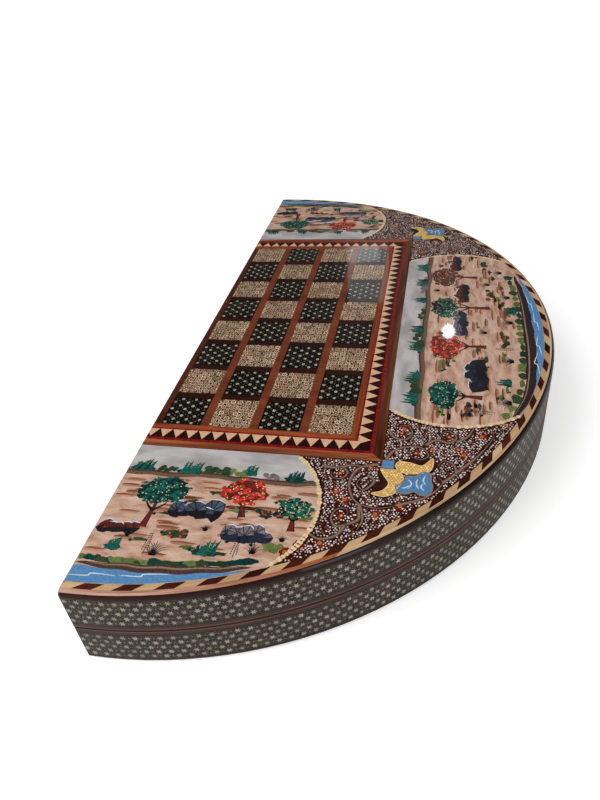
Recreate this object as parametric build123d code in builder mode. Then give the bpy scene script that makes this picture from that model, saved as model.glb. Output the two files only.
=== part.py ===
import os
from math import cos, radians, sin, sqrt

from build123d import *

os.makedirs("parts", exist_ok=True)

# Round folding board for chess and backgammon, stored as a closed half disc.
# Sizes are in millimetres. Both halves are built in one shared frame of their own:
# the decorated outer face lies at z = 0, the open tray looks up, the straight hinge
# side lies on x = 0 and the curved side bulges towards +X.

# Overall size of one half
board_radius = 250.0
half_height = 28.5

# Outer face: inlaid veneers on a plywood board
veneer = 1.2
board_thickness = 4.0

# Curved wall and straight hinge rail
rim_thickness = 11.0
rail_thickness = 14.0
skin = 1.0

# Rounded outer edge, with a light moulding above a dark line
edge_radius = 3.2
band_start_angle = 26.0
band_facets = 3
edge_line_height = 2.4
edge_line_depth = 2.0
parting_strip_height = 4.1
parting_relief = 0.3

# Chess field on the outer face, half of the board's squares on each half
columns = 4
rows = 8
column_pitch = 31.4
row_pitch = 32.0
strip_width = 5.4
hinge_strip = 4.4

# Courses of the frame round the chess field, from the squares outwards
inner_course = 3.7
red_course = 1.25
tooth_course = 7.6
crimson_course = 2.0
outer_course = 5.7
tooth_pitch = 8.4
tooth_corner = 1.6
tooth_gap = 0.5
tooth_land = 0.4

# Border of slanted blocks along the curved edge
border_width = 3.5
block_pairs = 38
block_slant = 1.35
block_phase = 2.2

# Painted panels: each edge meets the border at an angle and bows by a share of its length
end_panel_angle = 66.3
end_panel_bow = 0.24
side_panel_angle = 24.3
side_panel_bow = 0.172

# Backgammon field inside each tray
points_per_side = 6
point_pitch = 24.0
point_width = 20.0
point_share = 0.8
point_bulge = 1.5
field_veneer = 1.0
divider = 5.0
divider_clearance = 0.5
divider_corner_gap = 5.36

# Hinges: two brass butt hinges on one axis
hinge_inset = 100.0
hinge_length = 50.0
knuckles = 3
knuckle_gap = 0.15
barrel_radius = 2.8
barrel_clearance = 0.4
pin_radius = 1.2
pin_clearance = 0.05
hinge_gap = 0.3
leaf_width = 13.0
leaf_thickness = 1.2
leaf_corner = 1.5
leaf_relief = 0.2

# Worked out from the sizes above
closed_height = 2 * half_height
square_x = column_pitch - strip_width
square_y = row_pitch - strip_width
field_x = hinge_strip + columns * column_pitch - strip_width
field_y = (rows * row_pitch - strip_width) / 2
frame_width = inner_course + red_course + tooth_course + crimson_course + outer_course
frame_x = field_x + frame_width
frame_y = field_y + frame_width
band_inner = board_radius - edge_radius
band_height = edge_radius * (1 - sin(radians(band_start_angle)))
band_outer = band_inner + edge_radius * cos(radians(band_start_angle))
line_foot = band_height + edge_line_height
line_inner = board_radius - edge_line_depth
border_inner = band_inner - border_width
wall_radius = board_radius - skin
rim_inner = wall_radius - rim_thickness
board_top = veneer + board_thickness
rail_inner = skin + rail_thickness
strip_foot = half_height - parting_strip_height
play_x = rail_inner + points_per_side * point_pitch
tray_depth = half_height - board_top
field_half_length = sqrt((rim_inner - divider_corner_gap) ** 2 - (play_x + divider) ** 2)
point_length = point_share * field_half_length
hinge_offset = board_radius - hinge_inset

# The finished frame has its origin at the bottom centre of the closed case's box
spine_x = -(board_radius - hinge_gap - barrel_radius) / 2
halves = {
    "base": Location((spine_x, 0, 0)),
    "lid": Location((spine_x, 0, closed_height), (180, 0, 0)),
}

# A plane through the hinge line's end: sketch x is the radius, sketch y is the height
section = Plane(origin=(0, 0, 0), x_dir=(0, -1, 0), z_dir=(-1, 0, 0))


def face_plane(height):
    return Plane.XY.offset(height)


def half_disc(radius, start=0.0):
    """Half disc of a radius, cut off along the straight side at x = start."""
    with BuildSketch() as sketch:
        Circle(radius)
        with Locations((start, 0)):
            Rectangle(3 * radius, 3 * radius, align=(Align.MAX, Align.CENTER), mode=Mode.SUBTRACT)
    return sketch.sketch


def half_ring(outer, inner, start=0.0):
    """Half ring between two radii, cut off along the straight side at x = start."""
    with BuildSketch() as sketch:
        add(half_disc(outer, start))
        Circle(inner, mode=Mode.SUBTRACT)
    return sketch.sketch


def course(offset, width):
    """One course of the three-sided frame: offset from the squares and width."""
    with BuildSketch() as sketch:
        for reach, mode in ((offset + width, Mode.ADD), (offset, Mode.SUBTRACT)):
            Rectangle(
                field_x + reach,
                2 * (field_y + reach),
                align=(Align.MIN, Align.CENTER),
                mode=mode,
            )
    return sketch.sketch


def square_centre(column, row):
    """Centre of one chess square of the outer face."""
    x = hinge_strip + square_x / 2 + column * column_pitch
    y = (row - (rows - 1) / 2) * row_pitch
    return x, y


def on_circle(radius, angle):
    """Point on a circle about the middle of the hinge side."""
    return radius * cos(radians(angle)), radius * sin(radians(angle))


def end_edge(side):
    """Curved edge of an end panel, from the frame out to the border."""
    x, y = on_circle(border_inner, end_panel_angle)
    bow = end_panel_bow * (y - frame_y)
    return SagittaArc((x, side * frame_y), (x, side * y), -side * bow)


def side_edge(side):
    """Curved edge of the side panel, from the frame out to the border."""
    x, y = on_circle(border_inner, side_panel_angle)
    bow = side_panel_bow * (x - frame_x)
    return SagittaArc((frame_x, side * y), (x, side * y), side * bow)


def slanted_block(foot_angle, span):
    """Straight-sided block of the border, its inner side turned back by the slant."""
    inner_radius = border_inner / cos(radians(span / 2))
    inner_angle = foot_angle - block_slant
    return Polygon(
        on_circle(band_inner, foot_angle),
        on_circle(band_inner, foot_angle + span),
        on_circle(inner_radius, inner_angle + span),
        on_circle(inner_radius, inner_angle),
        align=None,
    )


def hinge_middles(x, z=0.0):
    """Middle of each hinge at a distance from the straight side and at a height."""
    return [(x, -hinge_offset, z), (x, hinge_offset, z)]


def knuckle_spans(first):
    """Middles of every second knuckle along one hinge, counted from its first end."""
    pitch = hinge_length / knuckles
    return [(number + 0.5) * pitch - hinge_length / 2 for number in range(first, knuckles, 2)]


pieces = {}


# Face board: plywood half disc, stepped behind the moulding and the dark line
with BuildPart() as face_board:
    for foot, top, radius in (
        (veneer, band_height, band_inner),
        (band_height, line_foot, line_inner),
        (line_foot, board_top, wall_radius),
    ):
        with BuildSketch(face_plane(foot)):
            add(half_disc(radius, skin))
        extrude(amount=top - foot)
pieces["face_board"] = face_board

# Rim: bent wooden wall along the curve
with BuildPart() as rim_wall:
    with BuildSketch(face_plane(board_top)):
        add(half_ring(wall_radius, rim_inner, skin))
    extrude(amount=tray_depth)
pieces["rim_wall"] = rim_wall

# Hinge rail: straight wall with a mortise and a barrel groove for each hinge
with BuildPart() as hinge_rail:
    with BuildSketch(face_plane(board_top)):
        add(half_disc(rim_inner, skin))
        with Locations((rail_inner, 0)):
            Rectangle(
                board_radius,
                3 * board_radius,
                align=(Align.MIN, Align.CENTER),
                mode=Mode.SUBTRACT,
            )
    extrude(amount=tray_depth)
    with BuildSketch(face_plane(half_height)):
        with Locations(*hinge_middles(0)):
            Rectangle(leaf_width, hinge_length, align=(Align.MIN, Align.CENTER))
    extrude(amount=-leaf_relief - leaf_thickness, mode=Mode.SUBTRACT)
    with Locations(*hinge_middles(-hinge_gap, half_height)):
        Cylinder(
            barrel_radius + barrel_clearance,
            hinge_length,
            rotation=(90, 0, 0),
            mode=Mode.SUBTRACT,
        )
pieces["hinge_rail"] = hinge_rail

# Light moulding round the outer edge, planed round in flat facets
with BuildPart() as edge_band:
    with BuildSketch(section):
        with BuildLine():
            rounding = CenterArc(
                (band_inner, edge_radius),
                edge_radius,
                -90,
                90 - band_start_angle,
                mode=Mode.PRIVATE,
            )
            planed = [rounding @ (step / band_facets) for step in range(band_facets + 1)]
            Polyline(*planed, (band_inner, band_height), close=True)
        make_face()
    revolve(axis=Axis.Z, revolution_arc=180)
pieces["edge_band"] = edge_band

# Dark line under the moulding and brown strip along the parting
with BuildPart() as wall_lines:
    with BuildSketch(section):
        with BuildLine():
            Polyline(
                (band_outer, band_height),
                (board_radius, edge_radius),
                (board_radius, line_foot),
                (line_inner, line_foot),
                (line_inner, band_height),
                close=True,
            )
        make_face()
        with Locations((wall_radius, strip_foot)):
            Rectangle(
                skin,
                parting_strip_height - parting_relief,
                align=(Align.MIN, Align.MIN),
            )
    revolve(axis=Axis.Z, revolution_arc=180)
pieces["wall_lines"] = wall_lines

# Starred marquetry skin of the curved wall
with BuildPart() as wall_marquetry:
    with BuildSketch(face_plane(line_foot)):
        add(half_ring(board_radius, wall_radius))
    extrude(amount=strip_foot - line_foot)
pieces["wall_marquetry"] = wall_marquetry

# Starred marquetry skin of the straight side, notched round the hinge barrels
with BuildPart() as spine_marquetry:
    for foot, top, radius in (
        (veneer, band_height, band_inner),
        (band_height, line_foot, line_inner),
        (line_foot, half_height, wall_radius),
    ):
        with BuildSketch(face_plane(foot)):
            add(half_disc(radius))
            with Locations((skin, 0)):
                Rectangle(
                    2 * board_radius,
                    3 * board_radius,
                    align=(Align.MIN, Align.CENTER),
                    mode=Mode.SUBTRACT,
                )
        extrude(amount=top - foot)
    with Locations(*hinge_middles(-hinge_gap, half_height)):
        Cylinder(
            barrel_radius + barrel_clearance,
            hinge_length,
            rotation=(90, 0, 0),
            mode=Mode.SUBTRACT,
        )
pieces["spine_marquetry"] = spine_marquetry

# Border of slanted blocks, dark and light in turn, cut off at the straight side
block_pitch = 180 / block_pairs
for colour, shift in (("dark", 0), ("light", block_pitch / 2)):
    with BuildPart() as blocks:
        with BuildSketch():
            for number in range(-1, block_pairs + 1):
                middle = block_phase - 90 + number * block_pitch + shift
                slanted_block(middle - block_pitch / 4, block_pitch / 2)
            Rectangle(
                board_radius,
                3 * board_radius,
                align=(Align.MIN, Align.CENTER),
                mode=Mode.INTERSECT,
            )
        extrude(amount=veneer)
    pieces[f"border_blocks_{colour}"] = blocks

# Painted panels at both ends of the face
with BuildPart() as end_panels:
    with BuildSketch():
        for side in (-1, 1):
            with BuildLine():
                edge = end_edge(side)
                Polyline(edge @ 0, (0, side * frame_y), (0, side * border_inner))
                CenterArc((0, 0), border_inner, side * 90, side * (end_panel_angle - 90))
            make_face()
    extrude(amount=veneer)
pieces["end_panels"] = end_panels

# Painted panel at the middle of the curve
with BuildPart() as side_panel:
    with BuildSketch():
        with BuildLine():
            low_edge = side_edge(-1)
            high_edge = side_edge(1)
            Line(low_edge @ 0, high_edge @ 0)
            CenterArc((0, 0), border_inner, -side_panel_angle, 2 * side_panel_angle)
        make_face()
    extrude(amount=veneer)
pieces["side_panel"] = side_panel

# Ornamented corner grounds between the panels
with BuildPart() as corner_grounds:
    with BuildSketch():
        for side in (-1, 1):
            with BuildLine():
                inner_edge = end_edge(side)
                outer_edge = side_edge(side)
                Polyline(inner_edge @ 0, (frame_x, side * frame_y), outer_edge @ 0)
                CenterArc(
                    (0, 0),
                    border_inner,
                    side * end_panel_angle,
                    side * (side_panel_angle - end_panel_angle),
                )
            make_face()
    extrude(amount=veneer)
pieces["corner_grounds"] = corner_grounds

# Courses of the frame round the squares
with BuildPart() as frame_inner_strip:
    with BuildSketch():
        add(course(0, inner_course))
    extrude(amount=veneer)
pieces["frame_inner_strip"] = frame_inner_strip

tooth_start = inner_course + red_course
with BuildPart() as frame_red_lines:
    with BuildSketch():
        add(course(inner_course, red_course))
        add(course(tooth_start + tooth_course, crimson_course))
    extrude(amount=veneer)
pieces["frame_red_lines"] = frame_red_lines

with BuildPart() as frame_outer_band:
    with BuildSketch():
        add(course(tooth_start + tooth_course + crimson_course, outer_course))
    extrude(amount=veneer)
pieces["frame_outer_band"] = frame_outer_band

# Toothed band: light teeth point outwards, the dark comb fills between them
tooth_x = field_x + tooth_start
tooth_y = field_y + tooth_start
last_x = tooth_x - tooth_corner
last_y = tooth_y - tooth_corner
side_pitches = round(2 * last_y / tooth_pitch)
side_pitch = 2 * last_y / side_pitches
tooth_places = []
for number in range(side_pitches + 1):
    tooth_places.append((tooth_x, last_y - number * side_pitch, -90))
for number in range(int(last_x / tooth_pitch) + 1):
    tooth_places.append((last_x - number * tooth_pitch, tooth_y, 0))
    tooth_places.append((last_x - number * tooth_pitch, -tooth_y, 180))
with BuildSketch() as teeth:
    for x, y, heading in tooth_places:
        with Locations(Location((x, y), heading)):
            Polygon(
                ((tooth_gap - side_pitch) / 2, 0),
                ((side_pitch - tooth_gap) / 2, 0),
                (0, tooth_course - tooth_land),
                align=None,
            )
    add(course(tooth_start, tooth_course), mode=Mode.INTERSECT)

with BuildPart() as frame_teeth_light:
    with BuildSketch():
        add(teeth.sketch)
    extrude(amount=veneer)
pieces["frame_teeth_light"] = frame_teeth_light

with BuildPart() as frame_teeth_dark:
    with BuildSketch():
        add(course(tooth_start, tooth_course))
        add(teeth.sketch, mode=Mode.SUBTRACT)
    extrude(amount=veneer)
pieces["frame_teeth_dark"] = frame_teeth_dark

# Chess field: squares of two marquetry patterns, with strips between them
for colour, parity in (("light", 0), ("dark", 1)):
    with BuildPart() as squares:
        with BuildSketch():
            for column in range(columns):
                for row in range(rows):
                    if (column + row) % 2 == parity:
                        with Locations(square_centre(column, row)):
                            Rectangle(square_x, square_y)
        extrude(amount=veneer)
    pieces[f"squares_{colour}"] = squares

with BuildPart() as column_strips:
    with BuildSketch():
        Rectangle(hinge_strip, 2 * field_y, align=(Align.MIN, Align.CENTER))
        for column in range(1, columns):
            with Locations((hinge_strip + column * column_pitch, 0)):
                Rectangle(strip_width, 2 * field_y, align=(Align.MAX, Align.CENTER))
    extrude(amount=veneer)
pieces["column_strips"] = column_strips

with BuildPart() as row_strips:
    with BuildSketch():
        for column in range(columns):
            for row in range(1, rows):
                x, y = square_centre(column, row)
                with Locations((x, y - row_pitch / 2)):
                    Rectangle(square_x, strip_width)
    extrude(amount=veneer)
pieces["row_strips"] = row_strips

# Backgammon points: tapering blades with bowed sides, tips towards the middle
point_shapes = {}
for colour, parity in (("light", 0), ("dark", 1)):
    with BuildSketch() as blades:
        for side in (-1, 1):
            for number in range(points_per_side):
                if (number + (side + 1) // 2) % 2 != parity:
                    continue
                x = rail_inner + (number + 0.5) * point_pitch
                foot = side * field_half_length
                tip = side * (field_half_length - point_length)
                bow = point_width / 4 + point_bulge
                with BuildLine():
                    left = ThreePointArc(
                        (x - point_width / 2, foot), (x - bow, (foot + tip) / 2), (x, tip)
                    )
                    right = ThreePointArc(
                        (x, tip), (x + bow, (foot + tip) / 2), (x + point_width / 2, foot)
                    )
                    Line(left @ 0, right @ 1)
                make_face()
    point_shapes[colour] = blades.sketch
    with BuildPart() as points:
        with BuildSketch(face_plane(board_top)):
            add(point_shapes[colour])
        extrude(amount=field_veneer)
    pieces[f"points_{colour}"] = points

# Floor of the playing field, with a pocket for each point
with BuildPart() as play_floor:
    with BuildSketch(face_plane(board_top)):
        with Locations((rail_inner, 0)):
            Rectangle(
                play_x - rail_inner,
                2 * field_half_length,
                align=(Align.MIN, Align.CENTER),
            )
        for shapes in point_shapes.values():
            add(shapes, mode=Mode.SUBTRACT)
    extrude(amount=field_veneer)
pieces["play_floor"] = play_floor

# Dividers between the playing field and the three storage compartments
with BuildPart() as end_dividers:
    with BuildSketch(face_plane(board_top)):
        for side in (-1, 1):
            with Locations((rail_inner, side * (field_half_length + divider / 2))):
                Rectangle(board_radius, divider, align=(Align.MIN, Align.CENTER))
        Circle(rim_inner, mode=Mode.INTERSECT)
    extrude(amount=tray_depth - divider_clearance)
pieces["end_dividers"] = end_dividers

with BuildPart() as side_divider:
    with BuildSketch(face_plane(board_top)):
        with Locations((play_x, 0)):
            Rectangle(divider, 2 * field_half_length, align=(Align.MIN, Align.CENTER))
    extrude(amount=tray_depth - divider_clearance)
pieces["side_divider"] = side_divider


# Both halves are the same pieces; the lid's are turned over about the X direction
for half, location in halves.items():
    for name, piece in pieces.items():
        solid = piece.part.moved(location)
        solid.label = f"{half}_{name}"
        export_step(solid, f"parts/{half}_{name}.step")


# Hinge leaves: plates let into the rails, with knuckles on the common axis
leaf_face = half_height - leaf_relief
knuckle_length = hinge_length / knuckles - knuckle_gap
for half, first in (("base", 0), ("lid", 1)):
    with BuildPart() as leaves:
        with BuildSketch(face_plane(leaf_face)) as plates:
            with Locations(*hinge_middles(0)):
                Rectangle(leaf_width, hinge_length, align=(Align.MIN, Align.CENTER))
            fillet(plates.vertices().group_by(Axis.X)[-1], leaf_corner)
        extrude(amount=-leaf_thickness)
        with Locations(*hinge_middles(-hinge_gap, half_height)):
            Cylinder(
                barrel_radius + barrel_clearance,
                hinge_length,
                rotation=(90, 0, 0),
                mode=Mode.SUBTRACT,
            )
        for x, centre, height in hinge_middles(-hinge_gap, half_height):
            for middle in knuckle_spans(first):
                with BuildSketch(face_plane(leaf_face)):
                    with Locations((x, centre + middle)):
                        Rectangle(
                            2 * barrel_radius,
                            knuckle_length,
                            align=(Align.MIN, Align.CENTER),
                        )
                extrude(amount=-leaf_thickness)
                with Locations((x, centre + middle, height)):
                    Cylinder(barrel_radius, knuckle_length, rotation=(90, 0, 0))
                    Cylinder(
                        pin_radius + first * pin_clearance,
                        knuckle_length,
                        rotation=(90, 0, 0),
                        mode=Mode.SUBTRACT,
                    )
    leaf_part = leaves.part.moved(halves[half])
    leaf_part.label = f"hinge_leaves_{half}"
    export_step(leaf_part, f"parts/hinge_leaves_{half}.step")

# Hinge pins, held by the lower knuckles
with BuildPart() as hinge_pins:
    with Locations(*hinge_middles(spine_x - hinge_gap, half_height)):
        Cylinder(pin_radius, hinge_length, rotation=(90, 0, 0))
hinge_pins.part.label = "hinge_pins"
export_step(hinge_pins.part, "parts/hinge_pins.step")
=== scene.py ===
import math
import random

import bpy
from mathutils import Matrix, Vector


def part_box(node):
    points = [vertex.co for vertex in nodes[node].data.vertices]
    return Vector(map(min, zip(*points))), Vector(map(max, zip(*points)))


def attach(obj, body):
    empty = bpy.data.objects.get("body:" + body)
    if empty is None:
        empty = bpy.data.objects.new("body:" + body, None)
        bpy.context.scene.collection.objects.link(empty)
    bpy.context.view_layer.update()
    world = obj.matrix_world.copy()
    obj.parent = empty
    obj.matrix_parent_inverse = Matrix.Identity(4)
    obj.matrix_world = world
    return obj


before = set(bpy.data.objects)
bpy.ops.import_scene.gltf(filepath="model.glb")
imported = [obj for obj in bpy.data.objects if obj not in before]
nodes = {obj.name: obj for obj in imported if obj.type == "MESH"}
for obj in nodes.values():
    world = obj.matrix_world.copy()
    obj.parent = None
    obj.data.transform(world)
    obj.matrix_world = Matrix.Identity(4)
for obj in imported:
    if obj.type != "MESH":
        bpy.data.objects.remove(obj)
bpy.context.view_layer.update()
print("frame loaded,", len(nodes), "parts")

# Shared measures of the board, in millimetres; a half is drawn as its outer face is seen
mm = 0.001
board = {
    "radius": 250.0,
    "borderInner": 243.3,
    "frameX": 144.85,
    "frameY": 145.55,
    "fieldX": 124.6,
    "fieldY": 125.3,
}
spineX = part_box("base_spine_marquetry")[0].x
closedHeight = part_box("lid_squares_dark")[1].z
halves = ("base", "lid")


def facePoint(half, x, y, lift=0.0):
    # lid: seen from above; base: the same picture turned about the X direction
    if half == "lid":
        return Vector((spineX + x * mm, y * mm, closedHeight + lift * mm))
    return Vector((spineX + x * mm, -y * mm, -lift * mm))


# Camera, fitted to the photograph
cameraSet = {
    "place": (0.05114, -0.40475, 0.30905),
    "right": (0.97591, 0.19698, -0.09375),
    "down": (0.04134, -0.58895, -0.80711),
    "ahead": (-0.21420, 0.78379, -0.58291),
    "lens": 28.816,
    "shift": -0.0344,
}
cameraData = bpy.data.cameras.new("camera")
cameraData.sensor_fit = "AUTO"
cameraData.sensor_width = 36
cameraData.lens = cameraSet["lens"]
cameraData.shift_y = cameraSet["shift"]
cameraData.clip_start = 0.01
camera = bpy.data.objects.new("camera", cameraData)
bpy.context.collection.objects.link(camera)
axes = (Vector(cameraSet["right"]), -Vector(cameraSet["down"]), -Vector(cameraSet["ahead"]))
turn = Matrix(axes).transposed().to_4x4()
camera.matrix_world = Matrix.Translation(cameraSet["place"]) @ turn
bpy.context.scene.camera = camera

# Node kit: every helper works on the tree at hand
atHand = {}


def addNode(kind, **settings):
    node = atHand["tree"].nodes.new(kind)
    for key, value in settings.items():
        setattr(node, key, value)
    return node


def joined(source, target):
    atHand["tree"].links.new(source, target)


def feed(socket, value):
    # a plain value is set, another node's output is joined
    if isinstance(value, (int, float, str, tuple)):
        socket.default_value = value
    else:
        joined(value, socket)


def maths(operation, *values):
    node = addNode("ShaderNodeMath", operation=operation)
    for socket, value in zip(node.inputs, values):
        feed(socket, value)
    return node.outputs[0]


def plus(first, second):
    return maths("ADD", first, second)


def minus(first, second):
    return maths("SUBTRACT", first, second)


def times(first, second):
    return maths("MULTIPLY", first, second)


def lengthOf(x, y):
    return maths("POWER", plus(times(x, x), times(y, y)), 0.5)


def objectPlace():
    return addNode("ShaderNodeTexCoord").outputs["Object"]


def splitPlace(place=None):
    split = addNode("ShaderNodeSeparateXYZ")
    joined(objectPlace() if place is None else place, split.inputs[0])
    return split.outputs


def mixedPlace(x, y, z):
    merge = addNode("ShaderNodeCombineXYZ")
    for socket, value in zip(merge.inputs, (x, y, z)):
        feed(socket, value)
    return merge.outputs[0]


def ringPlace():
    # along the curve, outwards, up: for what is bent round the hinge side's middle
    x, y, z = splitPlace()
    x = minus(x, spineX)
    return mixedPlace(times(maths("ARCTAN2", y, x), board["radius"] * mm), lengthOf(x, y), z)


def onFrameSide(x, y):
    # 1 on the strip along the side, 0 on the two strips at the ends, mitred where they meet
    overY = minus(maths("ABSOLUTE", y), board["fieldY"] * mm)
    return maths("GREATER_THAN", minus(x, board["fieldX"] * mm), overY)


def framePlace():
    # along the strip and across it, for the three-sided frame
    x, y, z = splitPlace()
    x = minus(x, spineX)
    pick = addNode("ShaderNodeMix", data_type="VECTOR")
    joined(onFrameSide(x, y), pick.inputs["Factor"])
    joined(mixedPlace(x, y, z), pick.inputs[4])
    joined(mixedPlace(y, x, z), pick.inputs[5])
    return pick.outputs[1]


def noise(place, scale=1.0, detail=3.0, roughness=0.5, distortion=0.0):
    # scale: one number, or three to stretch the pattern
    if isinstance(scale, tuple):
        stretch = addNode("ShaderNodeMapping")
        joined(place, stretch.inputs["Vector"])
        stretch.inputs["Scale"].default_value = scale
        place = stretch.outputs[0]
        scale = 1.0
    node = addNode("ShaderNodeTexNoise")
    joined(place, node.inputs["Vector"])
    node.inputs["Scale"].default_value = scale
    node.inputs["Detail"].default_value = detail
    node.inputs["Roughness"].default_value = roughness
    node.inputs["Distortion"].default_value = distortion
    return node.outputs["Fac"]


def tint(red, green, blue):
    # colour as the eye reads it, 0 to 255, turned to the renderer's linear scale
    def linear(value):
        value /= 255
        return value / 12.92 if value <= 0.04045 else ((value + 0.055) / 1.055) ** 2.4

    return (linear(red), linear(green), linear(blue), 1.0)


def toned(colour, share):
    return tuple(min(1.0, value * share) for value in colour[:3]) + (1.0,)


def ramp(source, stops, step=False):
    node = addNode("ShaderNodeValToRGB")
    if step:
        node.color_ramp.interpolation = "CONSTANT"
    elements = node.color_ramp.elements
    while len(elements) < len(stops):
        elements.new(0.5)
    for element, (position, colour) in zip(elements, stops):
        element.position = position
        element.color = colour
    joined(source, node.inputs[0])
    return node.outputs[0]


def mixColour(factor, first, second, blend="MIX"):
    node = addNode("ShaderNodeMix", data_type="RGBA", blend_type=blend)
    for index, value in ((0, factor), (6, first), (7, second)):
        feed(node.inputs[index], value)
    return node.outputs[2]


def shaded(colour, share):
    return mixColour(1.0, colour, mixedPlace(share, share, share), "MULTIPLY")


def spread(source, low, high, fromLow=0.3, fromHigh=0.7):
    node = addNode("ShaderNodeMapRange")
    for socket, value in zip(node.inputs, (source, fromLow, fromHigh, low, high)):
        feed(socket, value)
    return node.outputs[0]


def startMaterial(name, levels):
    material = bpy.data.materials.new(name)
    material.use_nodes = True
    atHand["tree"] = material.node_tree
    surface = material.node_tree.nodes["Principled BSDF"]
    for title, value in levels.items():
        surface.inputs[title].default_value = value
    return material, surface


def relief(surface, height, strength, distance, socket="Normal"):
    bump = addNode("ShaderNodeBump")
    bump.inputs["Strength"].default_value = strength
    bump.inputs["Distance"].default_value = distance
    joined(height, bump.inputs["Height"])
    joined(bump.outputs[0], surface.inputs[socket])


# Gloss of the lacquer that covers the inlay, and its gentle waviness
lacquer = {"Coat Weight": 0.5, "Coat Roughness": 0.04, "Roughness": 0.35, "Specular IOR Level": 0.2}
lacquerWave = {"scale": 28, "strength": 0.25, "height": 0.00025}


def lacquered(name, share=1.0):
    # share: how much of the gloss this surface has
    gloss = {title: lacquer[title] * share for title in ("Coat Weight", "Specular IOR Level")}
    material, surface = startMaterial(name, {**lacquer, **gloss})
    wave = noise(objectPlace(), lacquerWave["scale"], 2)
    relief(surface, wave, lacquerWave["strength"], lacquerWave["height"], "Coat Normal")
    return material, surface


# Woods: size of the fibres and of the broader figure, along and across the grain
wood = {"fibre": (22.5, 900, 900), "figure": (7.5, 60, 60), "hingeStrip": 4.5}


def woodFinish(name, dark, light, run, hingeShade=1.0):
    # run: the way of the fibres; hingeShade: how dark the strip next to the hinge side is
    material, surface = lacquered(name)
    if run == "ring":
        source = ringPlace()
    else:
        x, y, z = splitPlace()
        source = mixedPlace(y, x, z) if run == "y" else mixedPlace(x, y, z)
    fibre = noise(source, wood["fibre"], 4, 0.6)
    cloud = noise(source, wood["figure"], 3, distortion=0.6)
    body = ramp(cloud, ((0.25, tint(*dark)), (0.75, tint(*light))))
    colour = mixColour(spread(fibre, 0.5, 0.0, 0.33, 0.6), body, toned(tint(*dark), 0.45))
    if hingeShade < 1:
        atHinge = maths("LESS_THAN", splitPlace()[0], spineX + wood["hingeStrip"] * mm)
        colour = shaded(colour, spread(atHinge, 1.0, hingeShade, 0, 1))
    joined(colour, surface.inputs["Base Color"])
    joined(spread(fibre, 0.5, 0.32), surface.inputs["Roughness"])
    relief(surface, fibre, 0.25, 0.00008)
    return material


def inlayFinish(name, colour, drift, size, toneShare=0.0, gloss=1.0):
    # one wood, bone or paint, with a fine drift of tone and one step of tone per piece
    material, surface = lacquered(name, gloss)
    fine = noise(objectPlace(), size)
    colour = tint(*colour)
    body = ramp(fine, ((0.3, toned(colour, 1 - drift)), (0.7, toned(colour, 1 + drift))))
    if toneShare:
        tone = addNode("ShaderNodeAttribute", attribute_name="tone")
        body = shaded(body, spread(tone.outputs["Fac"], 1 - toneShare, 1 + toneShare, 0, 1))
    joined(body, surface.inputs["Base Color"])
    joined(spread(fine, 0.22, 0.4), surface.inputs["Roughness"])
    return material


def frameFinish(name, dark, light, sideShade):
    # strips round the squares: the one along the side is cut from a darker board
    material, surface = lacquered(name)
    source = framePlace()
    fibre = noise(source, (34, 1200, 1200), 4, 0.6)
    cloud = noise(source, (9, 140, 140), 4, distortion=0.5)
    body = ramp(cloud, ((0.34, tint(*dark)), (0.64, tint(*light))))
    body = mixColour(spread(fibre, 0.6, 0.0, 0.36, 0.58), body, toned(tint(*dark), 0.4))
    x, y, z = splitPlace()
    shade = spread(onFrameSide(minus(x, spineX), y), 1.0, sideShade, 0, 1)
    joined(shaded(body, shade), surface.inputs["Base Color"])
    relief(surface, fibre, 0.2, 0.00006)
    return material


# The moulding, by degrees along the curve: pinkish wood from the near end, redder towards a slanted
# scarf joint, then pale maple; painted shade darkens its lower part, by millimetres from the outer face
moulding = {
    "redBetween": (-74, -62),
    "scarfAt": -58.5,
    "scarfSlant": 9.0,
    "lapBetween": (-88, -46),
    "lapDepths": (1.0, 0.3),
    "shadeBetween": (-84, -58),
}


def bandFinish(name):
    material, surface = lacquered(name, 0.8)
    source = ringPlace()
    along, outwards, z = splitPlace(source)
    angle = maths("DIVIDE", along, board["radius"] * mm)
    fibre = noise(source, (36, 1500, 1500), 4, 0.6)
    cloud = noise(source, (40, 400, 400), 3, distortion=0.4)

    def between(key, low=0.0, high=1.0):
        return spread(angle, low, high, *map(math.radians, moulding[key]))

    pink = ramp(cloud, ((0.3, tint(168, 116, 92)), (0.7, tint(206, 158, 134))))
    red = ramp(cloud, ((0.3, tint(140, 72, 44)), (0.7, tint(182, 108, 74))))
    maple = ramp(cloud, ((0.3, tint(196, 156, 116)), (0.7, tint(224, 190, 152))))
    slant = plus(angle, times(minus(outwards, (board["radius"] - 2) * mm), moulding["scarfSlant"]))
    joint = maths("GREATER_THAN", slant, math.radians(moulding["scarfAt"]))
    body = mixColour(joint, mixColour(between("redBetween"), pink, red), maple)
    body = mixColour(spread(fibre, 0.4, 0.0, 0.34, 0.56), body, tint(86, 46, 32))
    # painted shade on the moulding's lower part: below a depth from the outer face that shrinks along the
    # curve, dark brown turning near black
    depth = minus(closedHeight / 2, maths("ABSOLUTE", minus(z, closedHeight / 2)))
    limit = between("lapBetween", *(depth * mm for depth in moulding["lapDepths"]))
    stainAndShade = mixColour(between("shadeBetween"), tint(54, 28, 22), tint(24, 16, 12))
    body = mixColour(maths("GREATER_THAN", depth, limit), body, stainAndShade)
    joined(body, surface.inputs["Base Color"])
    joined(spread(fibre, 0.2, 0.4), surface.inputs["Roughness"])
    relief(surface, fibre, 0.3, 0.00008)
    return material


# Border blocks: a dark and a light one make a pair; the first pair's middle is in degrees
blocks = {"pairs": 38, "firstMiddle": -88.48}


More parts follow.
